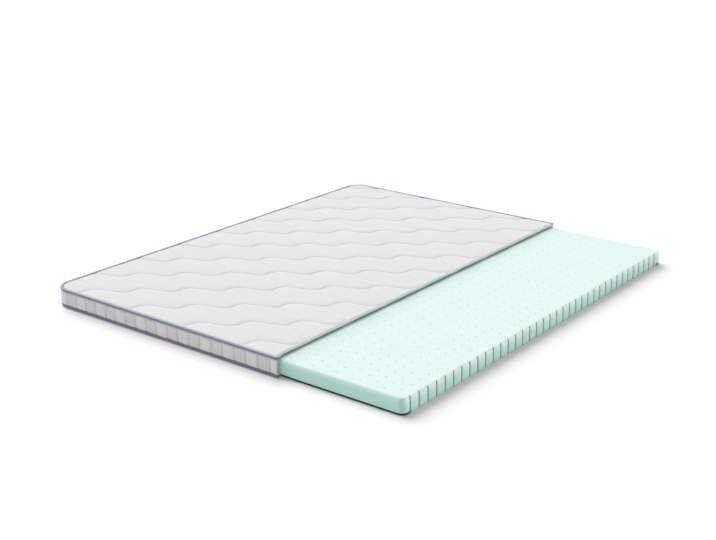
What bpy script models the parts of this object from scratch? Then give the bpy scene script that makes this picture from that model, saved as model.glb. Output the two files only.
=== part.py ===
"""Mattress topper, 180 x 200 x 8 cm, lying flat.

A perforated foam core in a quilted cover whose front part is cut away along X, so that the
foam shows.  Metres, +Z up.  X runs along the 2 m side, Y from the bare foam to the covered
back edge, and the origin is on the floor under the middle of the whole thing.
"""
import math

import bmesh
import bpy
import numpy as np

# ---- driving dimensions -------------------------------------------------------------------
LENGTH = 2.000              # over the cover, along X
WIDTH = 1.800               # of the uncut cover, along Y
BORDER_OUT = 0.020          # from the foam's side face to the fullest part of the border
GAP = 0.0003                # between pieces that touch

FOAM_THICK = 0.062
FOAM_ROUND = 0.006          # rounding of the foam's top and bottom edges
FOAM_CORNER = 0.025         # corner radius of the bare foam
COVER_CORNER = 0.060        # corner radius of the foam inside the cover
BARE_STRIP = 0.543          # how much of the foam shows in front of the border's left cut
RIGHT_CUT_BACK = 0.025      # the border's right cut lies this much further back

SLIT_COUNT = 37             # upright slits in the foam's front face
SLIT_PITCH = 0.0514
SLIT_FIRST = 0.041          # from the foam's left end to the first slit
SLIT_WIDE = 0.003
SLIT_DEEP = 0.010

BASE_THICK = 0.0015         # bottom cloth
SEAM_OUT = 0.0087           # the two panels end this far outside the foam's side face
PIPING_RADIUS = 0.004
PIPING_OUT = 0.013          # piping's centre line, outside the foam's side face
TOP_PIPING_Z = 0.0715
PIPING_SIDES = 8

PANEL_CROWN_Z = 0.080       # highest part of the quilting
PANEL_GROOVE_Z = 0.0735     # bottom of a stitched groove
PANEL_DRAWN_BACK = 0.020    # how far the panel's cut springs back behind the border's left cut
DRAWN_EASE = 0.050          # how fast it gets there from the left side
PANEL_STEP_Z = 0.0668       # underside of the panel's edge, over the border
CUT_SHARES = (0.985, 0.95, 0.90, 0.80, 0.0, -0.80, -0.90, -0.95, -0.985)

QUILT_PERIOD = 0.2434       # along X, from crest to crest of one stitched line
QUILT_ROW = 0.1512          # along Y, from line to line
QUILT_X = 0.0222            # a place along X where two lines nearly touch
QUILT_Y = 0.7501            # the row along Y of that place
QUILT_LINES = range(-1, 10)
QUILT_SHARP = 2.0           # how flat the crests are and how steep the line between them
QUILT_APART = 0.003         # half the distance between two lines where they nearly touch
QUILT_ROUND = 0.030         # width of the rounding beside a groove
ROW_SHARES = (0.0, 0.10, 0.5, 0.90)             # points from one stitched line to the next
WAVE_STEPS = (0.0, 0.115, 0.25, 0.385)          # points along half a wave, in whole waves
SLAB_OVER = 0.060           # the uncut quilting reaches this far past the foam

RIB_PITCH = 0.0583          # between upright seams in the border
RIB_FIRST = 0.008           # from a corner's start to the first seam on the straight
RIB_SHOULDER = 0.006        # half the width of a seam's groove
RIB_DEEP = 0.004
BORDER_LOW = 0.0087         # the strip's lower and upper edge, and how high its swell takes
BORDER_HIGH = 0.0665
BORDER_SWELL = 0.012

ARC_STEPS = 8               # flats in each quarter turn

# ---- places worked out from them ----------------------------------------------------------
FOAM_X = LENGTH / 2 - BORDER_OUT
FOAM_FRONT = -(WIDTH - BORDER_OUT) / 2
FOAM_BACK = FOAM_FRONT + WIDTH - 2 * BORDER_OUT
CUT_Y = FOAM_FRONT + BARE_STRIP
FOAM_LIFT = BASE_THICK + GAP            # the bottom cloth lifts the covered foam
FOAM_TOP = FOAM_LIFT + FOAM_THICK
EASE_START = CUT_Y - 0.070              # here the foam begins to rise onto the bottom cloth
EASE_END = CUT_Y - 0.005


def material(name, colour, roughness):
    """A plain Principled material in the piece's colour."""
    made = bpy.data.materials.new(name)
    made.use_nodes = True
    shader = made.node_tree.nodes["Principled BSDF"]
    shader.inputs["Base Color"].default_value = (*colour, 1.0)
    shader.inputs["Roughness"].default_value = roughness
    shader.inputs["Metallic"].default_value = 0.0
    return made


def add_object(name, mesh, finish):
    """Put a mesh into the scene under a name, with its material."""
    piece = bpy.data.objects.new(name, mesh)
    mesh.materials.append(finish)
    bpy.context.collection.objects.link(piece)
    return piece


def closed_mesh(name, points, faces):
    """A mesh from points and faces, turned to face outwards."""
    mesh = bpy.data.meshes.new(name)
    mesh.from_pydata(points.tolist(), [], faces)
    turned = bmesh.new()
    turned.from_mesh(mesh)
    bmesh.ops.recalc_face_normals(turned, faces=turned.faces)
    turned.to_mesh(mesh)
    turned.free()
    return mesh


def skin(name, rings, caps=None):
    """A solid skinned over closed rings of equal length, each ring an (n, 3) array.

    Quads join each ring to the next.  caps lists the index groups that close the first and
    the last ring, or is left out for one face on each.
    """
    count = len(rings[0])
    faces = []
    for ring in range(len(rings) - 1):
        low, high = ring * count, (ring + 1) * count
        faces += [(low + i, low + (i + 1) % count, high + (i + 1) % count, high + i) for i in range(count)]
    last = (len(rings) - 1) * count
    for group in caps or [range(count)]:
        faces.append(list(reversed(group)))
        faces.append([last + i for i in group])
    return closed_mesh(name, np.concatenate(rings), faces)


# ---- the cover's outline: up the left side, round the back and down the right side ----------
def cover_stations(left=(), back=()):
    """Points on the foam's side face inside the cover, with outward normals.

    left holds extra Y values for the two straight sides, back extra X values for the back.
    The right side ends further back than the left one.
    """
    corner = COVER_CORNER
    side_y = sorted({CUT_Y, *left})
    turn = np.radians(np.linspace(180.0, 90.0, ARC_STEPS + 1))
    left_run = [((-FOAM_X, y), (-1.0, 0.0)) for y in side_y]
    left_arc = [((-FOAM_X + corner + corner * math.cos(a), FOAM_BACK - corner + corner * math.sin(a)),
                 (math.cos(a), math.sin(a))) for a in turn]
    back_run = [((x, FOAM_BACK), (0.0, 1.0)) for x in sorted(back) if x < 0.0]
    half = left_run + left_arc + back_run
    middle = [((0.0, FOAM_BACK), (0.0, 1.0))] if 0.0 in back else []
    right_end = CUT_Y + RIGHT_CUT_BACK
    mirrored = [((-x, y), (-nx, ny)) for (x, y), (nx, ny) in reversed(half) if y > right_end + 0.001]
    stations = half + middle + mirrored + [((FOAM_X, right_end), (1.0, 0.0))]
    points = np.array([point for point, normal in stations])
    normals = np.array([normal for point, normal in stations])
    return points, normals


def sweep(name, points, normals, section):
    """A bar along the stations; section is an (n, k, 2) array of outward offset and height."""
    rings = []
    for point, normal, profile in zip(points, normals, section):
        place = point + profile[:, :1] * normal
        rings.append(np.column_stack([place, profile[:, 1]]))
    return skin(name, rings)


def panel_cut(x):
    """The Y of the top panel's cut edge: from the border's left cut back, then on to the right one."""
    from_left = np.clip(FOAM_X + x, 0.0, None)
    share = from_left / (2 * FOAM_X)
    drawn = PANEL_DRAWN_BACK * (1.0 - np.exp(-from_left / DRAWN_EASE))
    return CUT_Y + drawn + (RIGHT_CUT_BACK - PANEL_DRAWN_BACK) * share


def cover_ring(out, back, z, cut_shares=()):
    """One closed ring: the cover's outline moved out, closed along the cut moved back."""
    points, normals = cover_stations()
    ring = points + out * normals
    ring[0, 1] += back
    ring[-1, 1] += back
    half = FOAM_X + out
    cut_x = half * np.array(cut_shares)
    cut_y = panel_cut(cut_x) + back
    ring = np.vstack([ring, np.column_stack([cut_x, cut_y])])
    return np.column_stack([ring, np.full(len(ring), z)])


# ---- foam core -----------------------------------------------------------------------------
def foam_outline(inset):
    """The foam's plan with its slits, each edge moved in by inset except inside the slits."""
    half, front, back = FOAM_X - inset, FOAM_FRONT + inset, FOAM_BACK - inset

    def corner(cx, cy, radius, start):
        turn = np.radians(np.linspace(start, start + 90.0, ARC_STEPS + 1))
        reach = radius - inset
        return [(cx + reach * math.cos(a), cy + reach * math.sin(a)) for a in turn]

    bare, covered = FOAM_CORNER, COVER_CORNER
    outline = corner(-FOAM_X + bare, FOAM_FRONT + bare, bare, 180.0)
    for slit in range(SLIT_COUNT):
        middle = -FOAM_X + SLIT_FIRST + slit * SLIT_PITCH
        near, far = middle - SLIT_WIDE / 2, middle + SLIT_WIDE / 2
        bottom = FOAM_FRONT + SLIT_DEEP
        outline += [(near, front), (near, bottom), (far, bottom), (far, front)]
    outline += corner(FOAM_X - bare, FOAM_FRONT + bare, bare, 270.0)
    outline += [(half, EASE_START), (half, EASE_END)]
    outline += corner(FOAM_X - covered, FOAM_BACK - covered, covered, 0.0)
    outline += corner(-FOAM_X + covered, FOAM_BACK - covered, covered, 90.0)
    outline += [(-half, EASE_END), (-half, EASE_START)]
    return np.array(outline)


def make_foam():
    """Slab with rounded edges and slits; the bare part eases down from the cloth to the floor."""
    quarter = np.radians([0.0, 45.0, 90.0])
    low = [(FOAM_ROUND * (1 - math.sin(a)), FOAM_ROUND * (1 - math.cos(a))) for a in quarter]
    levels = low + [(inset, FOAM_THICK - z) for inset, z in reversed(low)]
    rings = []
    for inset, z in levels:
        plan = foam_outline(inset)
        lift = FOAM_LIFT * np.clip((plan[:, 1] - EASE_START) / (EASE_END - EASE_START), 0.0, 1.0)
        rings.append(np.column_stack([plan, z + lift]))
    count = len(rings[0])
    front_end = 2 * (ARC_STEPS + 1) + 4 * SLIT_COUNT       # index of the right ease start
    right_start, right_end = front_end, front_end + 1
    left_end, left_start = count - 2, count - 1
    front_cap = list(range(0, right_start + 1)) + [left_start]
    ease_cap = [right_start, right_end, left_end, left_start]
    back_cap = list(range(right_end, left_end + 1))
    mesh = skin("foam_core", rings, caps=[front_cap, ease_cap, back_cap])
    return add_object("foam_core", mesh, material("mint foam", (0.62, 0.90, 0.84), 0.9))


# ---- bottom panel --------------------------------------------------------------------------
def make_bottom_panel():
    """A flat cloth from the cut to the back seam."""
    rings = [cover_ring(SEAM_OUT, 0.0, z) for z in (0.0, BASE_THICK)]
    mesh = skin("bottom_panel", rings)
    return add_object("bottom_panel", mesh, material("base cloth", (0.80, 0.80, 0.79), 0.9))


# ---- top panel -----------------------------------------------------------------------------
def wave(x):
    """Crest-and-trough curve from -1 to 1: a sine made flat at its tops by a tanh."""
    turn = 2 * math.pi * (x - QUILT_X) / QUILT_PERIOD
    return np.tanh(QUILT_SHARP * np.cos(turn)) / math.tanh(QUILT_SHARP)


def quilt_line(number, x):
    """The Y of stitched line number at x; neighbours run in opposite waves and nearly touch."""
    middle = QUILT_Y + QUILT_ROW * (0.5 - number)
    side = -1.0 if number % 2 == 0 else 1.0
    return middle + side * (QUILT_ROW / 2 - QUILT_APART) * wave(x)


def quilt_slab():
    """Oversize quilted cloth: rows follow the stitched lines, pillows rise between them."""
    first = math.floor((-FOAM_X - SLAB_OVER - QUILT_X) / (QUILT_PERIOD / 2))
    last = math.ceil((FOAM_X + SLAB_OVER - QUILT_X) / (QUILT_PERIOD / 2))
    halves = np.arange(first, last)
    x = (QUILT_X + QUILT_PERIOD * (halves[:, None] * 0.5 + np.array(WAVE_STEPS)[None, :])).ravel()
    rows = []
    lines = list(QUILT_LINES)
    for number in lines[:-1]:
        upper, lower = quilt_line(number, x), quilt_line(number + 1, x)
        slope = np.gradient((upper + lower) / 2, x)
        for share in ROW_SHARES:
            away = min(share, 1 - share) * (upper - lower) / np.hypot(1.0, slope)
            near = np.clip(away / QUILT_ROUND, 0.0, 1.0)
            rise = np.sqrt(1.0 - (1.0 - near) ** 2)
            z = PANEL_GROOVE_Z + (PANEL_CROWN_Z - PANEL_GROOVE_Z) * rise
            rows.append(np.column_stack([x, upper + (lower - upper) * share, z]))
    y = quilt_line(lines[-1], x)
    rows.append(np.column_stack([x, y, np.full_like(x, PANEL_GROOVE_Z)]))
    top = np.array(rows)
    count, across = top.shape[:2]
    rim = [(0, c) for c in range(across)] + [(r, across - 1) for r in range(1, count)]
    rim += [(count - 1, c) for c in range(across - 2, -1, -1)] + [(r, 0) for r in range(count - 2, 0, -1)]
    points = top.reshape(-1, 3)
    base = np.array([top[r, c] for r, c in rim])
    base[:, 2] = FOAM_TOP - FOAM_ROUND
    faces = [(r * across + c, (r + 1) * across + c, (r + 1) * across + c + 1, r * across + c + 1)
             for r in range(count - 1) for c in range(across - 1)]
    start = count * across
    for i, (r, c) in enumerate(rim):
        after = (i + 1) % len(rim)
        nr, nc = rim[after]
        faces.append((r * across + c, nr * across + nc, start + after, start + i))
    faces.append([start + i for i in range(len(rim))])
    return closed_mesh("quilt slab", np.vstack([points, base]), faces)


def make_top_panel():
    """The quilted cloth trimmed to the cover's outline, with its shoulder drawn down to the seam."""
    profile = (                          # outward offset, set back at the cut, height
        (-0.0060, 0.0060, FOAM_TOP + GAP),
        (-0.0005, 0.0040, PANEL_STEP_Z),
        (0.0070, 0.0015, PANEL_STEP_Z + 0.0001),
        (SEAM_OUT, 0.0000, PANEL_STEP_Z + 0.0020),
        (SEAM_OUT, 0.0000, TOP_PIPING_Z),
        (0.0050, 0.0003, 0.0760),
        (-0.0030, 0.0015, 0.0792),
        (-0.0140, 0.0060, PANEL_CROWN_Z + 0.0012),
    )
    rings = [cover_ring(out, back, z, CUT_SHARES) for out, back, z in profile]
    guide = material("guide", (1.0, 0.0, 0.0), 0.5)
    envelope = add_object("panel_envelope", skin("panel envelope", rings), guide)
    envelope.hide_render = True
    envelope.display_type = "WIRE"
    panel = add_object("top_panel", quilt_slab(), material("quilted cloth", (0.80, 0.80, 0.80), 0.9))
    trim = panel.modifiers.new("trim", "BOOLEAN")
    trim.operation = "INTERSECT"
    trim.solver = "EXACT"
    trim.object = envelope
    return panel


# ---- border --------------------------------------------------------------------------------
def make_border():
    """Padded strip round three sides, sewn into upright ribs that swell between its seams."""
    corner_start = FOAM_BACK - COVER_CORNER
    side_seams = np.arange(corner_start - RIB_FIRST, CUT_Y + RIB_SHOULDER, -RIB_PITCH)
    back_end = FOAM_X - COVER_CORNER - RIB_FIRST
    back_seams = np.linspace(-back_end, back_end, round(2 * back_end / RIB_PITCH) + 1)
    spread = (-RIB_SHOULDER, 0.0, RIB_SHOULDER)
    left = {round(y + step, 5) for y in side_seams for step in spread}
    back = {round(x + step, 5) for x in back_seams for step in spread}
    points, normals = cover_stations(left, back)

    seam_points = [(side * FOAM_X, y) for side in (-1, 1) for y in side_seams]
    seam_points += [(x, FOAM_BACK) for x in back_seams]
    middle = COVER_CORNER * (1 - math.sqrt(0.5))             # each corner has a seam halfway round
    seam_points += [(side * (FOAM_X - middle), FOAM_BACK - middle) for side in (-1, 1)]
    to_seam = np.linalg.norm(points[:, None, :] - np.array(seam_points)[None], axis=2).min(axis=1)
    drawn = np.clip(1.0 - to_seam / RIB_SHOULDER, 0.0, 1.0) * RIB_DEEP

    low, high = BORDER_LOW, BORDER_HIGH
    sections = []
    for out in BORDER_OUT - drawn:
        sections.append([(GAP, low), (PIPING_OUT, low), (out, low + BORDER_SWELL),
                         (out, high - BORDER_SWELL), (PIPING_OUT, high), (GAP, high)])
    mesh = sweep("border", points, normals, np.array(sections))
    return add_object("border", mesh, material("border cloth", (0.72, 0.72, 0.70), 0.9))


# ---- piping --------------------------------------------------------------------------------
def make_piping(name, height):
    """A round cord in a cloth strip, sewn in where a panel meets the border."""
    points, normals = cover_stations()
    turn = 2 * math.pi * (np.arange(PIPING_SIDES) + 0.5) / PIPING_SIDES
    ring = np.column_stack([PIPING_OUT + PIPING_RADIUS * np.cos(turn), height + PIPING_RADIUS * np.sin(turn)])
    mesh = sweep(name, points, normals, np.repeat(ring[None], len(points), axis=0))
    return add_object(name, mesh, material(name + " cloth", (0.36, 0.42, 0.56), 0.8))


for old in list(bpy.data.objects):
    bpy.data.objects.remove(old, do_unlink=True)

make_foam()
make_bottom_panel()
make_top_panel()
make_border()
make_piping("top_piping", TOP_PIPING_Z)
make_piping("bottom_piping", PIPING_RADIUS + GAP)
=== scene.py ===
"""Mattress topper lying flat, its quilted cover cut open over a perforated foam core.

Metres.  X runs along the 2 m side, Y from the bare foam to the covered back, Z up from the floor.
"""
import math

import bmesh
import bpy
import numpy as np
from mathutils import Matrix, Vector
from mathutils.geometry import delaunay_2d_cdt


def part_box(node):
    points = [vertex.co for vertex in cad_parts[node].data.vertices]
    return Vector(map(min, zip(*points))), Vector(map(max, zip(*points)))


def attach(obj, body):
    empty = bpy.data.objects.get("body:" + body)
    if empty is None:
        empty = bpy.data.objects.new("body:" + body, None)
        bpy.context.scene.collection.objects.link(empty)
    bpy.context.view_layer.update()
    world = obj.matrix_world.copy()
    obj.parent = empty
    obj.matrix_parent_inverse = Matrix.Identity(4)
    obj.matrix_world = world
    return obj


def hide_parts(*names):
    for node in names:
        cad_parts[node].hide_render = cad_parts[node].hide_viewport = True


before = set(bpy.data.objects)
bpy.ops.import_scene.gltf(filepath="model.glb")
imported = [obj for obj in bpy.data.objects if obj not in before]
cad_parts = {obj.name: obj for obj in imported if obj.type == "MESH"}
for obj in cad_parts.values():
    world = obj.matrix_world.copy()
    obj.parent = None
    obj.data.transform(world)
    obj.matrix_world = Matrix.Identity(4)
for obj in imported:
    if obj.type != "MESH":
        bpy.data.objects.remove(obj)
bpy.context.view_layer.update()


# ---- Foam core -------------------------------------------------------------------------------
# One slab of mint-green open-cell foam, 62 mm thick, with softly rounded edges and corners.
# Pinholes run through it in staggered rows; the front face was cut through one row of them,
# which leaves a groove at every hole.  The bare end eases down from the bottom cloth to the floor.
foam_low, foam_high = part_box("foam_core")
FOAM_X = foam_high.x
FOAM_FRONT, FOAM_BACK = foam_low.y, foam_high.y
FOAM_TOP = foam_high.z
FOAM_THICK = 0.062
FOAM_LIFT = FOAM_TOP - FOAM_THICK
BORDER_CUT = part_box("border")[0].y          # the cover's strip and pipings end here on the left
RIGHT_CUT = BORDER_CUT + 0.025              # and here on the right
PANEL_DRAWN_BACK = 0.020                    # the top panel's cut has sprung back this far
DRAWN_EASE = 0.010                          # and gets there in this distance from the left side
COVER_CORNER = 0.060                        # corner radius of the foam inside the cover
BARE_CORNER = 0.025                         # and of the foam that shows
FOAM_ROUND_IN, FOAM_ROUND_DOWN = 0.0110, 0.0210    # the top edge is rounder downwards than inwards
FOAM_FLAT_RING = 0.0030                     # a level ring keeps the edge's shading off the top
FRONT_SHARE = 0.25                          # the front face is drawn in less than the ends
FOAM_FOOT = (                               # in, further in towards both ends, height
    (0.0045, 0.0010, 0.0000), (0.0040, 0.0012, 0.0070), (0.0022, 0.0006, 0.0078),
    (0.0012, 0.0000, 0.0088), (0.0004, 0.0000, 0.0105), (0.0000, 0.0000, 0.0130))
EASE_START, EASE_END = BORDER_CUT - 0.070, BORDER_CUT - 0.005
EASE_COLUMNS, EASE_ROWS = 40, 7             # points over the step up to the bottom cloth
EASE_X, EASE_TO_HOLE = FOAM_X - 0.012, 0.009    # how far out they go, and how near to a pinhole
ARC_STEPS = 12                              # in a corner's quarter turn

HOLE_PITCH_X, HOLE_PITCH_Y = 0.0514, 0.0530
HOLE_FIRST = 0.041                          # from the foam's left end to the first groove
HOLE_DEEP = 0.0036                          # enough to look dark
HOLE_RINGS = (                              # radius, share of the depth
    (0.0066, 0.0), (0.0043, 0.0), (0.0032, 0.06), (0.0025, 0.25), (0.0019, 0.65), (0.0012, 0.98))
HOLE_ROWS, HOLE_POINTS = 11, 12
HOLE_TO_END, HOLE_TO_CORNER = 0.020, 0.014  # a hole's middle keeps this far from the edges
HOLE_UNDER_PANEL = 0.040                    # the rows go on this far behind the cover's cut

GROOVES, GROOVE_CUT = 37, 0.0062            # how many, and how far they go in
GROOVE_ACROSS = np.array([-0.0056, -0.0040, -0.0030, -0.0024, 0.0, 0.0024, 0.0030, 0.0040, 0.0056])
GROOVE_IN = np.array([0.0, 0.04, 0.14, 0.70, 1.0, 0.70, 0.14, 0.04, 0.0])       # share of the cut
GROOVE_PAINTED_LIGHT = np.array([0.45, 1.0, 0.9, -0.6, -1.0, -1.0, -1.0, -0.25, 0.0])    # painted highlight, then painted shade

FOAM_SIDE = (0.50, 0.77, 0.69), (0.53, 0.80, 0.71)              # each blotched in two tones
# The top's tones are painted paler than the sides': painted light.
FOAM_TOP_PAINTED_LIGHT = (0.690, 0.805, 0.785), (0.715, 0.825, 0.805)
FOAM_RIM_HIGHLIGHT, FOAM_FRONT_PAINTED_LIGHT = (0.62, 0.84, 0.78), (0.84, 1.0, 0.96)      # painted highlight on the top edge, and painted light on the front below it
FOAM_LIP_HIGHLIGHT, FOAM_SLIT_SHADE = (0.85, 0.93, 0.90), (0.16, 0.34, 0.29)    # painted highlight beside a groove, and painted shade in it
FOAM_FOOT_SHADE, FOAM_PORE = (0.035, 0.055, 0.050), (0.42, 0.70, 0.63)
FOAM_CUT_SHADE, FOAM_CUT_SHADOW = (0.34, 0.52, 0.47), (0.20, 0.36, 0.31)      # painted shade and painted shadow in front of the panel's cut


class Socket:
    """A value in a shader.  Arithmetic on it, with numbers too, adds Math nodes."""

    def __init__(self, nodes, link):
        self.nodes, self.link = nodes, link

    def maths(self, operation, *others):
        """A Math node on this value and any others."""
        return self.nodes.node("ShaderNodeMath", {"operation": operation}, [self, *others])

    def __add__(self, other):
        return self.maths("ADD", other)

    def __sub__(self, other):
        return self.maths("SUBTRACT", other)

    def __rsub__(self, other):
        return self.nodes.node("ShaderNodeMath", {"operation": "SUBTRACT"}, [other, self])

    def __mul__(self, other):
        return self.maths("MULTIPLY", other)

    __radd__ = __add__
    __rmul__ = __mul__


class Nodes:
    """A tree of shader nodes, and the ways to add to it."""

    def __init__(self, tree):
        self.tree = tree

    def node(self, kind, settings=None, values=(), out=0):
        """Add a node: its own settings first, then values or links by socket place or name."""
        made = self.tree.nodes.new(kind)
        for setting, value in (settings or {}).items():
            setattr(made, setting, value)
        for socket, value in values.items() if isinstance(values, dict) else enumerate(values):
            if isinstance(value, Socket):
                self.tree.links.new(value.link, made.inputs[socket])
            else:
                made.inputs[socket].default_value = value
        return Socket(self, made.outputs[out])

    def place(self):
        """Object coordinates; in a world, the direction that is looked in."""
        return self.node("ShaderNodeTexCoord", out="Object")

    def facing(self):
        """The direction that the surface faces."""
        return self.node("ShaderNodeNewGeometry", out="Normal")

    def parts(self, vector):
        """The x, y and z of a vector."""
        outputs = self.node("ShaderNodeSeparateXYZ", None, [vector]).link.node.outputs
        return [Socket(self, part) for part in outputs]

    def noise(self, where, size, detail=2.0, roughness=0.5):
        """Soft random values about 0.5, with blotches about size metres across."""
        values = {"Vector": where, "Scale": 1.0 / size, "Detail": detail, "Roughness": roughness}
        return self.node("ShaderNodeTexNoise", None, values)

    def mix(self, share, first, second):
        """Blend two colours."""
        colours = [c if isinstance(c, Socket) else (*c, 1.0) for c in (first, second)]
        values = {0: share, 6: colours[0], 7: colours[1]}
        return self.node("ShaderNodeMix", {"data_type": "RGBA"}, values, out=2)

    def between(self, value, low, high):
        """0 below low, 1 above high, a smooth ramp between."""
        settings = {"interpolation_type": "SMOOTHSTEP"}
        return self.node("ShaderNodeMapRange", settings, [value, low, high, 0.0, 1.0])


class Finish(Nodes):
    """A cloth or foam finish: one Principled shader and the nodes that feed it."""

    def __init__(self, name, roughness, sheen=0.0):
        self.material = bpy.data.materials.new(name)
        self.material.use_nodes = True
        super().__init__(self.material.node_tree)
        self.shader = self.tree.nodes["Principled BSDF"]
        self.shader.inputs["Roughness"].default_value = roughness
        self.shader.inputs["Sheen Weight"].default_value = sheen
        self.shader.inputs["Specular IOR Level"].default_value = 0.25

    def feed(self, socket, value):
        self.tree.links.new(value.link, self.shader.inputs[socket])

    def bump(self, height, depth):
        """Feed a height in units of depth metres to the shader's normal."""
        values = {"Height": height, "Distance": depth, "Strength": 1.0}
        self.feed("Normal", self.node("ShaderNodeBump", None, values))


def make_piece(name, points, faces, finish, slot, node, merge=0.0):
    """A smooth closed mesh riding on the body, in place of its CAD node.

    points is an (n, 3) array and faces a list of index arrays.  merge joins points that lie
    closer than that and drops the faces which that flattens.
    """
    mesh = bpy.data.meshes.new(name)
    mesh.from_pydata(points.tolist(), [], [face for group in faces for face in group.tolist()])
    shaped = bmesh.new()
    shaped.from_mesh(mesh)
    if merge:
        bmesh.ops.remove_doubles(shaped, verts=shaped.verts, dist=merge)
    bmesh.ops.recalc_face_normals(shaped, faces=shaped.faces)
    shaped.to_mesh(mesh)
    shaped.free()
    mesh.shade_smooth()
    mesh.materials.append(finish.material)
    piece = bpy.data.objects.new(name, mesh)
    bpy.context.scene.collection.objects.link(piece)
    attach(piece, "root")
    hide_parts(node)
    return piece


def ring_faces(rings, count):
    """Quads between successive closed rings of count points."""
    ring, step = np.meshgrid(np.arange(rings - 1), np.arange(count), indexing="ij")
    here, after = ring * count + step, ring * count + (step + 1) % count
    return np.stack([here, after, after + count, here + count], axis=-1).reshape(-1, 4)


def fill_flat(loop, inner):
    """Triangles that fill a closed plan loop through every inner point; index by loop + inner."""
    points = [Vector(p) for p in np.vstack([loop, inner]).tolist()]
    edges = [(i, (i + 1) % len(loop)) for i in range(len(loop))]
    made = delaunay_2d_cdt(points, edges, [], 1, 1e-7)
    source = np.array([origins[0] for origins in made[3]])
    return source[np.array(made[2])]


def foam_outline(inset, tuck):
    """Plan of the foam moved in by inset, anticlockwise from the left front corner.

    The front face moves in by FRONT_SHARE of that, and tuck draws both ends in further.  Corners
    are quarter ovals.  Each groove's mouth rounds in to a narrow bottom, by the steps of GROOVE_IN.
    """
    front = FOAM_FRONT + inset * FRONT_SHARE

    def arc(centre_x, centre_y, radius, start):
        turn = np.radians(np.linspace(start, start + 90.0, ARC_STEPS + 1))
        inset_y = inset if start < 180.0 else inset * FRONT_SHARE
        x = centre_x + (radius - inset) * np.cos(turn)
        return np.column_stack([x, centre_y + (radius - inset_y) * np.sin(turn)])

    centres = -FOAM_X + HOLE_FIRST + HOLE_PITCH_X * np.arange(GROOVES)
    grooves_x = (centres[:, None] + GROOVE_ACROSS).ravel()
    grooves_y = front + np.tile(GROOVE_IN * GROOVE_CUT, GROOVES)
    keep = grooves_x > -FOAM_X + BARE_CORNER
    side = np.linspace(EASE_START, EASE_END, EASE_ROWS)
    right_side = np.column_stack([np.full(EASE_ROWS, FOAM_X - inset), side])
    plan = np.vstack([
        arc(-FOAM_X + BARE_CORNER, FOAM_FRONT + BARE_CORNER, BARE_CORNER, 180.0),
        np.column_stack([grooves_x, grooves_y])[keep],
        arc(FOAM_X - BARE_CORNER, FOAM_FRONT + BARE_CORNER, BARE_CORNER, 270.0),
        right_side,
        arc(FOAM_X - COVER_CORNER, FOAM_BACK - COVER_CORNER, COVER_CORNER, 0.0),
        arc(-FOAM_X + COVER_CORNER, FOAM_BACK - COVER_CORNER, COVER_CORNER, 90.0),
        right_side[::-1] * [-1.0, 1.0],
    ])
    return plan * [1.0 - tuck / FOAM_X, 1.0]


def foam_lift(y):
    """How far the foam is raised at y: nothing on the floor, a smooth step up to the cloth."""
    share = np.clip((y - EASE_START) / (EASE_END - EASE_START), 0.0, 1.0)
    return FOAM_LIFT * share * share * (3.0 - 2.0 * share)


def pinholes():
    """Plan points and depths of every pinhole's rings, from the lip down to its bottom."""
    rows = np.arange(1, HOLE_ROWS + 1)
    columns = np.arange(-1, GROOVES + 2)
    row, column = (number.ravel() for number in np.meshgrid(rows, columns, indexing="ij"))
    x = -FOAM_X + HOLE_FIRST + HOLE_PITCH_X * (column + 0.5 * (row % 2))
    y = FOAM_FRONT + HOLE_PITCH_Y * row
    inside = (np.abs(x) < FOAM_X - HOLE_TO_END) & (y < BORDER_CUT + HOLE_UNDER_PANEL)
    corner_x = np.abs(x) - (FOAM_X - BARE_CORNER)
    corner_y = FOAM_FRONT + BARE_CORNER - y
    past_corner = np.hypot(corner_x, corner_y) > BARE_CORNER - HOLE_TO_CORNER
    inside &= ~((corner_x > 0) & (corner_y > 0) & past_corner)
    middle = np.column_stack([x, y])[inside]
    turn = 2 * math.pi * np.arange(HOLE_POINTS) / HOLE_POINTS
    ring = np.column_stack([np.cos(turn), np.sin(turn)])
    plan, deep = [middle], [np.full(len(middle), HOLE_DEEP)]
    for radius, share in HOLE_RINGS:
        plan.append((middle[:, None] + radius * ring).reshape(-1, 2))
        deep.append(np.full(len(middle) * HOLE_POINTS, HOLE_DEEP * share))
    return np.vstack(plan), np.concatenate(deep)


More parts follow.
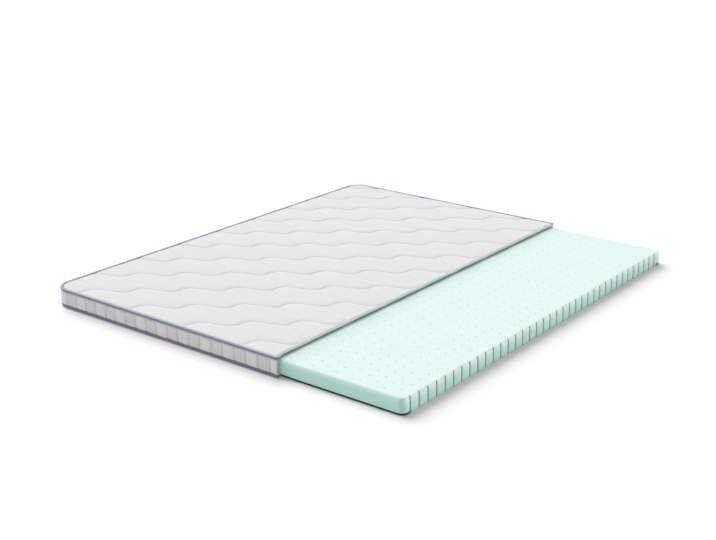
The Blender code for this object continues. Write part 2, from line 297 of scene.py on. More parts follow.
def foam_shape():
    """The slab: rings of its outline from a drawn-in foot up to a quarter-oval top edge.

    The top is filled with triangles through every pinhole's rings, which stand below it by
    their depth, and the bottom through the points of the step up to the cloth.
    """
    quarter = np.radians(np.linspace(0.0, 90.0, 9))
    high = np.column_stack([FOAM_ROUND_IN * (1 - np.cos(quarter)), 0.0 * quarter,
                            FOAM_THICK - FOAM_ROUND_DOWN * (1 - np.sin(quarter))])
    flat = [FOAM_ROUND_IN + FOAM_FLAT_RING, 0.0, FOAM_THICK]
    rings = []
    for inset, tuck, z in np.vstack([FOAM_FOOT, high, flat]):
        plan = foam_outline(inset, tuck)
        rings.append(np.column_stack([plan, z + foam_lift(plan[:, 1])]))
    count = len(rings[0])
    band = np.vstack(rings)
    ease_y = np.repeat(np.linspace(EASE_START, EASE_END, EASE_ROWS), EASE_COLUMNS)
    ease_x = np.tile(np.linspace(-EASE_X, EASE_X, EASE_COLUMNS), EASE_ROWS)
    ease = np.column_stack([ease_x, ease_y])
    holes, deep = pinholes()
    to_hole = np.hypot(*(ease[:, None] - holes[None]).transpose(2, 0, 1)).min(axis=1)
    clear = to_hole > EASE_TO_HOLE
    top_inner = np.vstack([holes, ease[clear]])
    top_deep = np.concatenate([deep, np.zeros(clear.sum())])
    top_z = FOAM_THICK + foam_lift(top_inner[:, 1]) - top_deep
    top = np.column_stack([top_inner, top_z])
    bottom = np.column_stack([ease, foam_lift(ease[:, 1])])
    last, after = (len(rings) - 1) * count, len(band) + len(top)
    top_index = np.concatenate([last + np.arange(count), len(band) + np.arange(len(top))])
    top_faces = top_index[fill_flat(rings[-1][:, :2], top_inner)]
    bottom_index = np.concatenate([np.arange(count), after + np.arange(len(bottom))])
    bottom_faces = bottom_index[fill_flat(rings[0][:, :2], ease)]
    faces = [ring_faces(len(rings), count), top_faces, bottom_faces]
    return np.vstack([band, top, bottom]), faces


def paint_groove_light(points):
    """Painted light for the front face: 1, a painted highlight, on a groove's lip; -1, painted
    shade, in it; a little below 0, painted shade, on the left corner.

    Across each groove it follows GROOVE_PAINTED_LIGHT; round the corner it falls by the sine
    squared of twice the turn.  It stops short of the top edge.
    """
    x, y, z = points.T
    spot = (x + FOAM_X - HOLE_FIRST) / HOLE_PITCH_X
    across = (spot - np.round(spot)) * HOLE_PITCH_X
    on_front = (y < FOAM_FRONT + 0.0140) & (np.abs(x) < FOAM_X - BARE_CORNER + 1e-4)
    on_front &= z < FOAM_THICK - 0.0030
    tone = np.interp(across, GROOVE_ACROSS, GROOVE_PAINTED_LIGHT) * on_front
    turn = np.arctan2(y - FOAM_FRONT - BARE_CORNER, x + FOAM_X - BARE_CORNER)
    near_corner = (y < FOAM_FRONT + BARE_CORNER) & (x < -FOAM_X + BARE_CORNER)
    near_corner &= z < FOAM_THICK - 0.0004
    return tone - 0.35 * np.sin(2 * turn) ** 2 * near_corner


foam_finish = Finish("mint foam", roughness=0.95)
where = foam_finish.place()
x, y, z = foam_finish.parts(where)
_, backward, up = foam_finish.parts(foam_finish.facing())
forward = backward * -1.0

# The sides show cut cells; the top is painted paler than the sides, as if lit from above: painted
# light.
blotches = foam_finish.noise(where, 0.09)
side_tone = foam_finish.mix(blotches, *FOAM_SIDE)
painted_light_top_tone = foam_finish.mix(blotches, *FOAM_TOP_PAINTED_LIGHT)
tone = foam_finish.mix(foam_finish.between(up, 0.3, 0.95), side_tone, painted_light_top_tone)
# Painted highlight along the rounded top edge.
rim = foam_finish.between(up, 0.04, 0.45) * (1.0 - foam_finish.between(up, 0.86, 0.99))
tone = foam_finish.mix(rim * 0.8, tone, FOAM_RIM_HIGHLIGHT)
# Painted light: the front face is painted paler, most in its upper half.
upper_half = foam_finish.between(z, 0.032, 0.062)
painted_front_light = foam_finish.between(forward, 0.5, 0.9) * (upper_half * 0.80 + 0.15)
tone = foam_finish.mix(painted_front_light, tone, FOAM_FRONT_PAINTED_LIGHT)

# Painted highlights on the grooves' lips and painted shade in them, and painted shade under the
# drawn-in foot near both ends.
front = foam_finish.node("ShaderNodeAttribute", {"attribute_name": "painted_groove_light"}, out="Fac")
tone = foam_finish.mix(front.maths("MAXIMUM", 0.0) * 0.75, tone, FOAM_LIP_HIGHLIGHT)
tone = foam_finish.mix((front * -1.0).maths("MAXIMUM", 0.0) * 0.85, tone, FOAM_SLIT_SHADE)
# Painted shade: the foot's low band near both ends is painted near black.
low = 1.0 - foam_finish.between(z, 0.0068, 0.0082)
foot = low * foam_finish.between(x.maths("ABSOLUTE"), 0.925, 0.945)
tone = foam_finish.mix(foot, tone, FOAM_FOOT_SHADE)

# Painted shadow: the top is painted darker in front of the panel's cut edge, where that edge
# shades it; before_cut is how far in front of that edge a point lies, by the same formula as
# panel_cut.
from_left = x + FOAM_X
drawn = 1.0 - (from_left * (-1.0 / DRAWN_EASE)).maths("EXPONENT")
cut_slope = (RIGHT_CUT - BORDER_CUT - PANEL_DRAWN_BACK) / (2 * FOAM_X)
before_cut = drawn * PANEL_DRAWN_BACK + from_left * cut_slope + (BORDER_CUT - 0.003) - y
cut_shade = (1.0 - foam_finish.between(before_cut, 0.010, 0.075)) * 0.20
cut_shadow = (1.0 - foam_finish.between(before_cut, 0.004, 0.020)) * 0.50
on_top = foam_finish.between(up, 0.5, 0.9)
tone = foam_finish.mix(on_top * cut_shade, tone, FOAM_CUT_SHADE)
tone = foam_finish.mix(on_top * cut_shadow, tone, FOAM_CUT_SHADOW)

cells = foam_finish.noise(where, 0.0016, detail=3.0, roughness=0.7)
pores = {"Vector": where, "Scale": 420.0}
to_pore = foam_finish.node("ShaderNodeTexVoronoi", None, pores, out="Distance")
pore = 1.0 - foam_finish.between(to_pore, 0.05, 0.30)
foam_finish.feed("Base Color", foam_finish.mix(pore * 0.25, tone, FOAM_PORE))
foam_finish.bump(cells - pore * 0.5, 0.0004)

foam_points, foam_faces = foam_shape()
foam = make_piece("foam", foam_points, foam_faces, foam_finish, "foam", "foam_core")
# Per-point painted light for the front face: highlights on lips, shade in grooves and round the
# left corner.
painted_groove_light_values = foam.data.attributes.new("painted_groove_light", "FLOAT", "POINT")
painted_groove_light_values.data.foreach_set("value", paint_groove_light(foam_points))


# ---- Bottom panel ----------------------------------------------------------------------------
# A plain white cloth under the foam, hemmed in by the bottom piping on three sides and cut
# straight where the cover ends.  It is 1.5 mm thick and lies on the floor.
BASE_THICK = 0.0015
BASE_ROUND = ((0.0006, 0.0), (0.0, 0.0005), (0.0, 0.0010), (0.0006, BASE_THICK))    # in, height
BASE_TONES = (0.76, 0.76, 0.75), (0.80, 0.80, 0.79)
SEAM_OUT = 0.0087                            # it ends this far outside the foam's side


def cover_path(out, spacing):
    """The cover's three sewn sides in plan, from the left cut round the back to the right cut.

    Straight, quarter turn, straight, quarter turn, straight.  Points lie out metres outside the
    foam's side face, about spacing metres apart; outward normals and the distance along the path
    at out = 0 come with them.
    """
    corner = COVER_CORNER
    straight, right_straight = FOAM_BACK - corner - BORDER_CUT, FOAM_BACK - corner - RIGHT_CUT
    back = 2 * (FOAM_X - corner)
    bend = math.pi / 2 * corner
    ends = np.cumsum([0.0, straight, bend, back, bend, right_straight])
    runs = [np.linspace(start, end, max(2, round((end - start) / spacing) + 1))[:-1]
            for start, end in zip(ends, ends[1:])]
    along = np.concatenate([*runs, [ends[-1]]])
    turn = np.pi - np.clip((along - ends[1]) / corner, 0, np.pi / 2)
    turn = turn - np.clip((along - ends[3]) / corner, 0, np.pi / 2)
    normal = np.column_stack([np.cos(turn), np.sin(turn)])
    centre_x = -FOAM_X + corner + np.clip(along - ends[2], 0, back)
    first = np.clip(along, 0, straight)
    last = np.clip(along - ends[4], 0, right_straight)
    centre_y = BORDER_CUT + first - last
    centre = np.column_stack([centre_x, centre_y])
    return centre + (corner + out) * normal, normal, along


def end_caps(rings, count):
    """Faces that close the first and the last of the rings."""
    return [np.arange(count)[None, ::-1], (rings - 1) * count + np.arange(count)[None]]


def base_shape():
    """A flat closed sheet over the cover's whole plan, with a softly rounded edge."""
    rings = []
    for inset, height in BASE_ROUND:
        plan, normal, along = cover_path(SEAM_OUT - inset, 0.02)
        plan[[0, -1], 1] += inset
        rings.append(np.column_stack([plan, np.full(len(plan), height)]))
    count = len(rings[0])
    return np.vstack(rings), [ring_faces(len(rings), count), *end_caps(len(rings), count)]


base_finish = Finish("base cloth", roughness=0.92)
where = base_finish.place()
x, y, _ = base_finish.parts(where)
weave = (x * 5200.0).maths("SINE") * (y * 5200.0).maths("SINE")
base_finish.feed("Base Color", base_finish.mix(base_finish.noise(where, 0.05), *BASE_TONES))
base_finish.bump(weave, 0.0001)
base = make_piece("base_cloth", *base_shape(), base_finish, "base_cloth", "bottom_panel")

# Its flat size is the plan's own: from the left cut to the back seam, and from side to side.
cover_deep = FOAM_BACK + SEAM_OUT - BORDER_CUT
cover_wide = 2 * (FOAM_X + SEAM_OUT)
base_area = sum(face.area for face in base.data.polygons) / 2
base_area = min(base_area, cover_deep * cover_wide)


# ---- Quilted top panel -----------------------------------------------------------------------
# White knitted cloth on wadding, stitched through in wavy lines that run in opposite waves and
# nearly touch, which leaves onion-shaped pillows.  Three edges curve down to the seam with the
# piping; the front edge is cut open and has sprung back 20 mm.
PANEL_CROWN_Z = 0.0800
PANEL_UNDER_Z = FOAM_TOP + 0.0003
PANEL_STEP_Z = 0.0668                        # underside of the edge, over the border
PANEL_OUT, PANEL_EDGE_Z = 0.0068, 0.0744     # where its sewn edge meets the piping
GROOVE_DEEP, SLACK = 0.0049, 0.60            # the thread pulls less where a line runs up rightwards
SHOULDER_IN = 0.0120                         # the edge curves down from this far inside the seam
QUILT_PERIOD, QUILT_ROW = 0.2434, 0.1512
QUILT_X, QUILT_Y = 0.0196, 0.7394            # a place where two lines nearly touch
QUILT_SHARP, QUILT_APART = 2.0, 0.003        # how flat the waves' tops are; half that place's width
QUILT_FIRST, QUILT_LAST = -1, 9              # numbers of the stitched lines, from the back
QUILT_STEP = 0.0066                          # between the mesh's columns, along a stitched line
QUILT_BESIDE = np.array([0.0, 0.0012, 0.0030, 0.0060, 0.0110, 0.0190])    # rows beside a line
QUILT_MIDDLE = (0.25, 0.5, 0.75)             # and shares of the rest, in the middle of a pillow
CUT_ROUND = 0.0030                           # the cut's upper edge curls over
PANEL_EDGE = (      # sewn side: out, height; cut: back, share of its height above the foam
    (SHOULDER_IN, 0.0730, 0.0000, 0.94),
    (SHOULDER_IN, 0.0700, 0.0011, 0.88),
    (SHOULDER_IN, 0.0688, 0.0006, 0.66),
    (SHOULDER_IN - 0.0003, 0.0680, 0.0004, 0.34),
    (SHOULDER_IN - 0.0017, PANEL_STEP_Z + 0.0001, 0.0022, 0.21),
    (SHOULDER_IN - 0.0073, PANEL_STEP_Z, 0.0120, 0.17),
    (SHOULDER_IN - 0.0128, PANEL_UNDER_Z, 0.0300, 0.00))
# The cut face's tone is tinted mint and paler: a painted reflection of the foam.
CLOTH_TONES, CLOTH_CUT_FOAM_REFLECTION = ((0.725, 0.725, 0.725), (0.750, 0.750, 0.748)), (0.80, 0.87, 0.85)


def wave(x):
    """A wave from -1 to 1: a cosine made flat at its tops by a tanh."""
    turn = 2 * np.pi * (x - QUILT_X) / QUILT_PERIOD
    return np.tanh(QUILT_SHARP * np.cos(turn)) / math.tanh(QUILT_SHARP)


def quilt_line(number, x):
    """Y of a stitched line at x: every second line's wave is turned over."""
    side = np.where(np.asarray(number) % 2 == 0, -1.0, 1.0)
    middle = QUILT_Y + QUILT_ROW * (0.5 - np.asarray(number))
    return middle + side * (QUILT_ROW / 2 - QUILT_APART) * wave(x)


def panel_cut(x):
    """Y of the panel's cut edge: from the border's left cut back, then on to its right cut.

    It draws back exponentially from the left side, and a straight slope is added to that.
    """
    from_left = np.clip(FOAM_X + x, 0.0, None)
    drawn = PANEL_DRAWN_BACK * (1.0 - np.exp(-from_left / DRAWN_EASE))
    rest = RIGHT_CUT - BORDER_CUT - PANEL_DRAWN_BACK
    return BORDER_CUT + drawn + rest * from_left / (2 * FOAM_X)


def stitch_distance(x, y):
    """Distance from a point to the nearest stitched line, and that line's slope there.

    The distance is the difference in y, shortened by the line's slope.
    """
    number = np.floor((QUILT_Y + QUILT_ROW * 0.5 - y) / QUILT_ROW)
    step = 1e-4
    nearest, nearest_slope = np.full(np.shape(x), 1.0), np.zeros(np.shape(x))
    for offset in (-1, 0, 1, 2):
        line = quilt_line(number + offset, x)
        slope = (quilt_line(number + offset, x + step) - line) / step
        away = np.abs(y - line) / np.hypot(1.0, slope)
        nearest_slope = np.where(away < nearest, slope, nearest_slope)
        nearest = np.minimum(nearest, away)
    return nearest, nearest_slope


def unevenness(x, y, size, seed):
    """Sum of 24 sines of random direction and phase, about size metres long; about -1 to 1."""
    draw = np.random.default_rng(seed)
    turns, phases = draw.uniform(0, np.pi, 24), draw.uniform(0, 2 * np.pi, 24)
    stretches = draw.uniform(0.6, 1.6, 24)
    total = np.zeros(np.broadcast_shapes(np.shape(x), np.shape(y)))
    for turn, phase, stretch in zip(turns, phases, stretches):
        along = x * np.cos(turn) + y * np.sin(turn)
        total = total + np.sin(2 * np.pi * along / (size * stretch) + phase)
    return total / 7.0


def quilt_height(x, y):
    """Height of the quilting, from the distance to the nearest stitched line.

    Three bell curves are added up: a crease at the stitches, a valley beside it and a broad
    pillow.  The crease is shallower where its line runs up to the right.  Small unevenness and
    the puckers beside the stitches come on top.
    """
    away, slope = stitch_distance(x, y)
    pull = 1.0 - SLACK * np.clip(slope / 1.2, 0.0, 1.0) ** 0.7
    tight = 1.0 - np.exp(-away / 0.0022)
    valley = 1.0 - np.exp(-(away / 0.0043) ** 1.3)
    broad = 1.0 - np.exp(-(away / 0.0220) ** 1.8)
    rise = 0.15 * tight + 0.40 * valley + 0.45 * broad
    rough = 0.0005 * unevenness(x, y, 0.11, 3) * broad
    pucker = 0.00035 * unevenness(x, y, 0.016, 5) * np.exp(-away / 0.012) * tight
    return PANEL_CROWN_Z - GROOVE_DEEP * pull * (1.0 - rise) + rough + pucker


def quilt_columns():
    """X of the grid's columns: even along the stitched lines, with the side limits exact."""
    limit = FOAM_X + PANEL_OUT - SHOULDER_IN
    fine = np.linspace(-limit, limit, 40001)
    steps = np.hypot(np.diff(fine), np.diff(quilt_line(0, fine)))
    along = np.concatenate([[0.0], np.cumsum(steps)])
    count = round(along[-1] / QUILT_STEP)
    return np.interp(np.linspace(0, along[-1], count + 1), along, fine)


def quilt_grid():
    """Rows that follow the stitched lines, closer beside them, clipped to the inner outline.

    Rows beside a line keep their distance from it, or, where a pillow is narrow, fourteenths of
    its width.
    """
    x = quilt_columns()
    limit = x[-1]
    corner = COVER_CORNER + PANEL_OUT - SHOULDER_IN
    over = np.clip(np.abs(x) - (limit - corner), 0.0, corner)
    back = FOAM_BACK - COVER_CORNER + np.sqrt(corner ** 2 - over ** 2)
    cut = panel_cut(x) + CUT_ROUND
    last = len(QUILT_BESIDE) - 1
    rows = []
    for number in range(QUILT_FIRST, QUILT_LAST):
        upper, lower = quilt_line(number, x), quilt_line(number + 1, x)
        slopes = [np.hypot(1.0, np.gradient(line, x)) for line in (upper, lower)]
        width = upper - lower
        below_upper, above_lower = (
            [np.minimum(away * slope, width * k / 14.0) for k, away in enumerate(QUILT_BESIDE)]
            for slope in slopes)
        rows += [upper - step for step in below_upper]
        top, low = upper - below_upper[last], lower + above_lower[last]
        rows += [top + (low - top) * share for share in QUILT_MIDDLE]
        rows += [lower + step for step in above_lower[:0:-1]]
    y = np.clip(np.array(rows), cut, back)
    y[0], y[-1] = back, cut
    return np.broadcast_to(x, y.shape), y


def panel_shape():
    """The quilting grid, carried on at its edge: down a shoulder to the seam, or down the cut.

    The grid's rim is moved out along its own normal by the sine of a turn and down by the
    cosine's fall, then by the steps of PANEL_EDGE.  One face closes the last ring, underneath.
    """
    x, y = quilt_grid()
    count, across = y.shape
    limit = x[0, -1]
    index = np.arange(count * across).reshape(count, across)
    rim = np.concatenate([index[0, :-1], index[:-1, -1], index[-1, :0:-1], index[:0:-1, 0]])
    px, py = x.ravel()[rim], y.ravel()[rim]
    on_cut = np.isin(rim, index[-1])
    on_side = (np.abs(px) >= limit - 1e-9) | ~on_cut
    corner = COVER_CORNER + PANEL_OUT - SHOULDER_IN
    dx = np.sign(px) * np.clip(np.abs(px) - (limit - corner), 0.0, None)
    dy = np.clip(py - (FOAM_BACK - COVER_CORNER), 0.0, None)
    dx = np.where(dy > 1e-9, dx, np.sign(px) * corner)
    length = np.maximum(np.hypot(dx, dy), 1e-9)
    out_normal = np.column_stack([dx / length, dy / length]) * on_side[:, None]
    cut_normal = np.column_stack([np.zeros(len(rim)), -1.0 * on_cut])

    crown = quilt_height(x, y)
    top = np.column_stack([x.ravel(), y.ravel(), crown.ravel()])
    rim_z = crown.ravel()[rim]
    points = [top]
    for turn in np.radians(np.linspace(12.0, 90.0, 9)):
        out = SHOULDER_IN * math.sin(turn) - 0.0002
        sewn_z = rim_z - (rim_z - PANEL_EDGE_Z) * (1 - math.cos(turn)) ** 1.15
        cut_z = rim_z - CUT_ROUND * (1 - math.cos(turn)) * 0.8
        height = np.where(on_side, sewn_z, cut_z)
        height = np.where(on_side & on_cut, np.minimum(sewn_z, cut_z), height)
        forward = CUT_ROUND * math.sin(turn)
        place = np.column_stack([px, py]) + out * out_normal + forward * cut_normal
        points.append(np.column_stack([place, height]))
    cut_top = points[-1][:, 2]
    free = np.clip((limit - np.abs(px)) / 0.040, 0.04, 1.0)      # sewn down at both ends
    for out, sewn_z, back, share in PANEL_EDGE:
        cut_z = PANEL_UNDER_Z + (cut_top - PANEL_UNDER_Z) * share
        height = np.where(on_side, np.minimum(sewn_z, points[-1][:, 2] - 1e-4), cut_z)
        height = np.maximum(height, PANEL_UNDER_Z)
        back = back * (free if back > 0.002 else 1.0)
        forward = (CUT_ROUND - back)[:, None] if np.ndim(back) else CUT_ROUND - back
        place = np.column_stack([px, py]) + out * out_normal + forward * cut_normal
        points.append(np.column_stack([place, height]))
    ring_count, start = len(rim), count * across
    first = start + np.arange(ring_count)
    joins = np.stack([rim, np.roll(rim, -1), np.roll(first, -1), first], axis=-1)
    band = start + ring_faces(len(points) - 1, ring_count)
    grid = np.stack([index[:-1, :-1], index[:-1, 1:], index[1:, 1:], index[1:, :-1]], axis=-1)
    last = start + (len(points) - 2) * ring_count
    under = np.arange(last, last + ring_count)[None]
    return np.vstack(points), [grid.reshape(-1, 4), joins, band, under]


cloth_finish = Finish("quilted cloth", roughness=0.9, sheen=0.15)
where = cloth_finish.place()
x, y, _ = cloth_finish.parts(where)
_, backward, _ = cloth_finish.parts(cloth_finish.facing())
across_knit = (x * 3900.0).maths("SINE") * (y * 4800.0).maths("SINE")
knit = across_knit + (x * 3900.0 + y * 2400.0).maths("SINE") * 0.4
tone = cloth_finish.mix(cloth_finish.noise(where, 0.12, detail=3.0), *CLOTH_TONES)
# Painted reflection: faces turned to the front, the cut, take a paler mint tone as if lit by the
# foam.
cut_face_reflection = cloth_finish.between(backward * -1.0, 0.75, 0.95)
cloth_finish.feed("Base Color", cloth_finish.mix(cut_face_reflection, tone, CLOTH_CUT_FOAM_REFLECTION))
cloth_finish.bump(knit * 0.5 + cloth_finish.noise(where, 0.004), 0.00025)
panel = make_piece(
    "quilted_panel", *panel_shape(), cloth_finish, "quilted_cloth", "top_panel", merge=2e-6)


# ---- Border ----------------------------------------------------------------------------------
# One long strip of knitted cloth on wadding round three sides, sewn through upright every 58 mm,
# so that it swells between the seams.  Every other stretch has narrow ribs.  Cut at both ends.
RIB_PITCH, RIB_FIRST = 0.0586, 0.0084        # the first seam lies this far before the back corner
RIB_TO_CUT = 0.010                           # and no seam nearer to the cut
RIB_DEEP, RIB_SHARP = 0.0060, 0.0036
FINE_DEEP, FINE_RIBS = 0.0017, 6             # the narrow ribs
BORDER_LOW, BORDER_HIGH = 0.0094, 0.0718
BORDER_FULL, BORDER_EDGE = 0.0200, 0.0080    # how far out at mid height, and beside the pipings
BORDER_INNER = 0.0003                        # its back is this far outside the foam
BORDER_LIP, BORDER_UNDER = 0.0074, 0.0666    # it stands up outside the panel, and ends below it
BORDER_WALL, BORDER_HOLLOW = 0.0050, 0.0120  # cloth and wadding at a cut end; the hollow behind
HOLLOW_LOW, HOLLOW_HIGH = BORDER_LOW + 0.0040, BORDER_UNDER - 0.0006
BORDER_STEP, BORDER_UNEVEN = 0.0021, 0.0006  # between the mesh's sections; how much they vary
BORDER_TONES = (0.72, 0.72, 0.715), (0.76, 0.76, 0.755)
# Painted shade for the cut ends; for the seams, their thread and painted shade, and painted shade
# in the narrow ribs' valleys.
BORDER_END_SHADE, BORDER_SEAM_THREAD_AND_SHADE = (0.42, 0.43, 0.48), (0.42, 0.42, 0.44)


def rib_seams():
    """Distances along the path of every rib seam: even on each side, one at each corner."""
    straight = FOAM_BACK - COVER_CORNER - BORDER_CUT
    bend, back_long = math.pi / 2 * COVER_CORNER, 2 * (FOAM_X - COVER_CORNER)
    total = 2 * straight + 2 * bend + back_long
    left = np.arange(straight - RIB_FIRST, RIB_TO_CUT, -RIB_PITCH)
    left = np.append(left, straight + bend / 2)
    back_start = straight + bend + RIB_FIRST
    back_count = round((back_long - 2 * RIB_FIRST) / RIB_PITCH) + 1
    back = np.linspace(back_start, back_start + back_long - 2 * RIB_FIRST, back_count)
    return np.sort(np.concatenate([left, back, total - left]))


def ribs(along):
    """Distance to the nearest seam, and the narrow ribs from 0 to 1, at a distance along the path.

    The narrow ribs are a cosine in every other stretch between two seams.
    """
    seams = rib_seams()
    to_seam = np.abs(along[:, None] - seams).min(axis=1)
    stretch = np.searchsorted(seams, along)
    low = seams[np.clip(stretch - 1, 0, None)]
    high = seams[np.clip(stretch, None, len(seams) - 1)]
    share = np.clip((along - low) / np.maximum(high - low, 1e-6), 0.0, 1.0)
    fine = 0.5 - 0.5 * np.cos(2 * np.pi * FINE_RIBS * share)
    return to_seam, fine * (stretch % 2 == 1)


def border_shape():
    """A section carried along the path: a swollen outer face, a lip on top and a flat back.

    The swell is 1 less the twelfth power of the height from the middle.  Each seam draws it in by
    an exponential cusp, and the narrow ribs by their cosine.  At each end the section turns in
    and back, which leaves a hollow behind the cloth's own thickness.
    """
    plan, normal, along = cover_path(0.0, BORDER_STEP)
    height = 0.5 - 0.5 * np.cos(np.linspace(0.0, np.pi, 19))
    swell = 1.0 - np.abs(2 * height - 1.0) ** 12.0
    jitter = BORDER_UNEVEN * unevenness(along[:, None], height[None] * 0.3, 0.06, 9)
    to_seam, fine = ribs(along)
    drawn_in = RIB_DEEP * np.exp(-to_seam / RIB_SHARP) + FINE_DEEP * fine
    full = BORDER_FULL - BORDER_EDGE - drawn_in[:, None] + jitter - BORDER_UNEVEN
    out = BORDER_EDGE + full * swell
    inner, lip = (np.full((len(along), 1), place) for place in (BORDER_INNER, BORDER_LIP))
    section_out = np.concatenate([inner, out, lip, inner], axis=1)
    outer_z = BORDER_LOW + (BORDER_HIGH - BORDER_LOW) * height
    z = np.concatenate([[BORDER_LOW], outer_z, [BORDER_UNDER, BORDER_UNDER]])
    place = plan[:, None, :] + section_out[:, :, None] * normal[:, None, :]
    body = np.dstack([place, np.broadcast_to(z, place.shape[:2])])
    hollow_z = np.clip(z, HOLLOW_LOW, HOLLOW_HIGH)
    rims = []
    for end in (0, -1):
        hollow_out = np.clip(section_out[end] - BORDER_WALL, 0.0012, None)
        rims.append(np.column_stack([plan[end] + hollow_out[:, None] * normal[end], hollow_z]))
    behind = [rim + [0.0, BORDER_HOLLOW, 0.0] for rim in rims]
    points = np.concatenate([[behind[0], rims[0]], body, [rims[1], behind[1]]])
    rows, count = points.shape[:2]
    return points.reshape(-1, 3), [ring_faces(rows, count), *end_caps(rows, count)]


def paint_seam_thread_and_shade(points):
    """Paint for the border: 1 in a seam, by a bell curve, for its thread and the painted shade of
    its crease, and less for painted shade between the narrow ribs.
    """
    plan, _, along = cover_path(0.0, BORDER_STEP)
    near = np.array([np.hypot(*(plan - point).T).argmin() for point in points[:, :2]])
    to_seam, fine = ribs(along[near])
    return np.exp(-(to_seam / 0.0030) ** 2) + 0.65 * fine


border_finish = Finish("border cloth", roughness=0.92, sheen=0.1)
where = border_finish.place()
x, y, z = border_finish.parts(where)
_, backward, _ = border_finish.parts(border_finish.facing())
seam = border_finish.node("ShaderNodeAttribute", {"attribute_name": "seam"}, out="Fac")
tone = border_finish.mix(border_finish.noise(where, 0.03), *BORDER_TONES)
# Painted shade: the cut ends, facing the front, are painted a darker bluish grey.
cut_end_shade = border_finish.between(backward * -1.0, 0.70, 0.95)
tone = border_finish.mix(cut_end_shade * 0.45, tone, BORDER_END_SHADE)
# Seams are darkened for their thread and painted shade; the narrow ribs' valleys for painted shade.
border_finish.feed("Base Color", border_finish.mix(seam * 0.36, tone, BORDER_SEAM_THREAD_AND_SHADE))
knit = ((x + y) * 3900.0).maths("SINE") * (z * 4800.0).maths("SINE")
border_finish.bump(knit * 0.5 + border_finish.noise(where, 0.004), 0.00025)
border = make_piece(
    "border_strip", *border_shape(), border_finish, "border_cloth", "border", merge=1e-6)
border_points = np.array([corner.co for corner in border.data.vertices])
seam_thread_and_shade_values = border.data.attributes.new("seam", "FLOAT", "POINT")
seam_thread_and_shade_values.data.foreach_set("value", paint_seam_thread_and_shade(border_points))


# ---- Pipings ---------------------------------------------------------------------------------
# A cord in a folded slate-blue twill strip, pressed to an oval 12.6 mm wide and 9.4 mm high, and
# sewn in between panel and border.  The second one lies between border and bottom cloth.
PIPING_OUT = 0.0128                          # its middle, outside the foam's side
PIPING_ACROSS, PIPING_TALL = 0.0063, 0.0047  # half its width and height
PIPING_HIGH, PIPING_LOW = 0.0757, 0.0052     # heights of the two cords' middles
PIPING_POINTS, PIPING_STEP = 14, 0.006       # round the cord, and between its sections
# Lit and shaded tones of one cloth: painted light on top, painted shade on the sides.
PIPING_SIDE_PAINTED_SHADE, PIPING_TOP_PAINTED_LIGHT = (0.175, 0.20, 0.27), (0.42, 0.46, 0.62)
# Painted shade for the lower cord; the twill's dark threads.
PIPING_LOW_PAINTED_SHADE, PIPING_TWILL = (0.235, 0.240, 0.255), (0.16, 0.19, 0.30)


def piping_shape(height):
    """An oval carried along the cover's path, its size swelling slightly and unevenly."""
    plan, normal, along = cover_path(0.0, PIPING_STEP)
    turn = 2 * np.pi * np.arange(PIPING_POINTS) / PIPING_POINTS
    thick = (0.975 + 0.02 * unevenness(along, along * 0, 0.03, 21))[:, None]
    out = PIPING_OUT + PIPING_ACROSS * thick * np.cos(turn)
    z = height + PIPING_TALL * thick * np.sin(turn)
    place = plan[:, None, :] + out[:, :, None] * normal[:, None, :]
    faces = [ring_faces(len(along), PIPING_POINTS), *end_caps(len(along), PIPING_POINTS)]
    return np.dstack([place, z]).reshape(-1, 3), faces


piping_finish = Finish("blue piping cloth", roughness=0.75, sheen=0.2)
x, y, z = piping_finish.parts(piping_finish.place())
_, _, up = piping_finish.parts(piping_finish.facing())
twill = ((x + y) * 4200.0 + z * 4200.0).maths("SINE")
# Painted light: the piping's upward faces are painted paler and its sides darker, as if lit from
# above.
tone = piping_finish.mix(piping_finish.between(up, 0.30, 0.95), PIPING_SIDE_PAINTED_SHADE, PIPING_TOP_PAINTED_LIGHT)
# Painted shade: the lower cord is painted duller and darker, lying low in shade by the floor.
lower_painted_shade = 1.0 - piping_finish.between(z, 0.0100, 0.0140)
tone = piping_finish.mix(lower_painted_shade * 0.5, tone, PIPING_LOW_PAINTED_SHADE)
piping_finish.feed("Base Color", piping_finish.mix(twill * 0.12 + 0.12, tone, PIPING_TWILL))
piping_finish.bump(twill, 0.00012)
make_piece("upper_piping", *piping_shape(PIPING_HIGH), piping_finish, "piping", "top_piping")
make_piece("lower_piping", *piping_shape(PIPING_LOW), piping_finish, "piping", "bottom_piping")


# ---- Studio ----------------------------------------------------------------------------------
# A pale floor that fades to white, one large soft light high behind and to the right, a white
# surround that is brighter low down in front and behind, and the camera at the picture's angle.
FLOOR_HALF, FLOOR_TONE = 60.0, (0.955, 0.922, 0.93, 1.0)
SURROUND, BACKDROP = 0.39, 1.0               # what lights the piece, and the white seen behind it
GLOW, GLOW_TOP, GLOW_WAY = 2.6, 0.34, (0.36, -0.93, 0.0)
GLOW_BEHIND = 0.35                           # share of the glow on the other side
KEY_POWER, KEY_ANGLE, KEY_WAY = 3.32, math.radians(58.0), Vector((0.30, 0.89, 0.87))
CAMERA_PLACE = Vector((-3.911, -3.052, 1.800))
CAMERA_YAW, CAMERA_PITCH = math.radians(36.78), math.radians(19.39)
CAMERA_FOCUS, CAMERA_SHIFT = 1216.6 / 716.0, -38.0 / 716.0      # in picture widths
CAMERA_SENSOR = 36.0

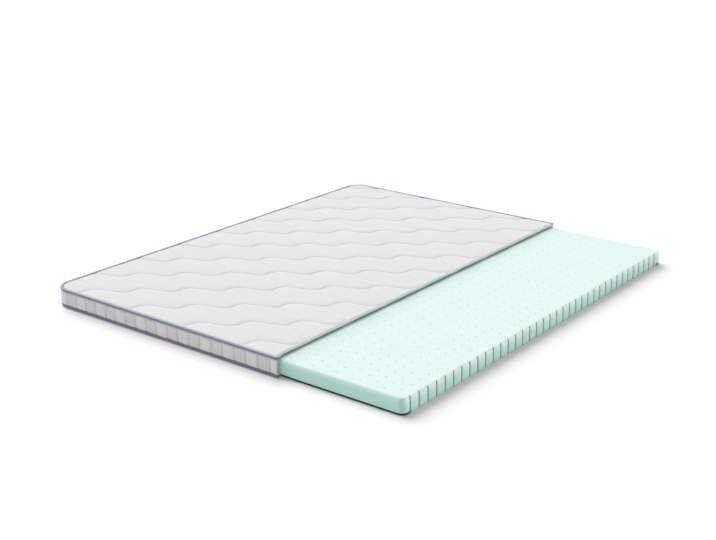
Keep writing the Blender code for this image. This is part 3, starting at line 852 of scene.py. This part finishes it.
floor_finish = Finish("studio floor", roughness=0.9)
floor_finish.shader.inputs["Base Color"].default_value = FLOOR_TONE
floor_mesh = bpy.data.meshes.new("studio_floor")
floor_corners = np.array([(-1, -1, 0), (1, -1, 0), (1, 1, 0), (-1, 1, 0)]) * FLOOR_HALF
floor_mesh.from_pydata(floor_corners.tolist(), [], [(0, 1, 2, 3)])
floor_mesh.materials.append(floor_finish.material)
floor = bpy.data.objects.new("studio_floor", floor_mesh)
bpy.context.scene.collection.objects.link(floor)

world = bpy.data.worlds.new("studio")
world.use_nodes = True
bpy.context.scene.world = world
studio = Nodes(world.node_tree)
way = studio.place()
_, _, way_up = studio.parts(way)
dot = {"operation": "DOT_PRODUCT"}
lean = studio.node("ShaderNodeVectorMath", dot, [way, GLOW_WAY], out="Value")
low_down = 1.0 - studio.between(way_up, 0.0, GLOW_TOP)
light = low_down * lean.maths("MAXIMUM", lean * -GLOW_BEHIND) * GLOW + SURROUND
seen = studio.node("ShaderNodeLightPath", out="Is Camera Ray")
strength = studio.node("ShaderNodeMix", None, {"Factor": seen, "A": light, "B": BACKDROP})
backdrop = world.node_tree.nodes["Background"]
backdrop.inputs["Color"].default_value = (1.0, 1.0, 1.0, 1.0)
world.node_tree.links.new(strength.link, backdrop.inputs["Strength"])

key_data = bpy.data.lights.new("soft key", "SUN")
key_data.energy, key_data.angle = KEY_POWER, KEY_ANGLE
key = bpy.data.objects.new("soft key", key_data)
key.rotation_euler = KEY_WAY.to_track_quat("Z", "Y").to_euler()
bpy.context.scene.collection.objects.link(key)

camera_data = bpy.data.cameras.new("camera")
camera_data.sensor_width = CAMERA_SENSOR
camera_data.lens = CAMERA_SENSOR * CAMERA_FOCUS
camera_data.shift_x = CAMERA_SHIFT
camera = bpy.data.objects.new("camera", camera_data)
camera.location = CAMERA_PLACE
level = math.cos(CAMERA_PITCH)
forward_x, forward_y = math.cos(CAMERA_YAW) * level, math.sin(CAMERA_YAW) * level
ahead = Vector((forward_x, forward_y, -math.sin(CAMERA_PITCH)))
camera.rotation_euler = ahead.to_track_quat("-Z", "Y").to_euler()
bpy.context.scene.collection.objects.link(camera)
bpy.context.scene.camera = camera
bpy.context.scene.view_settings.view_transform = "Standard"
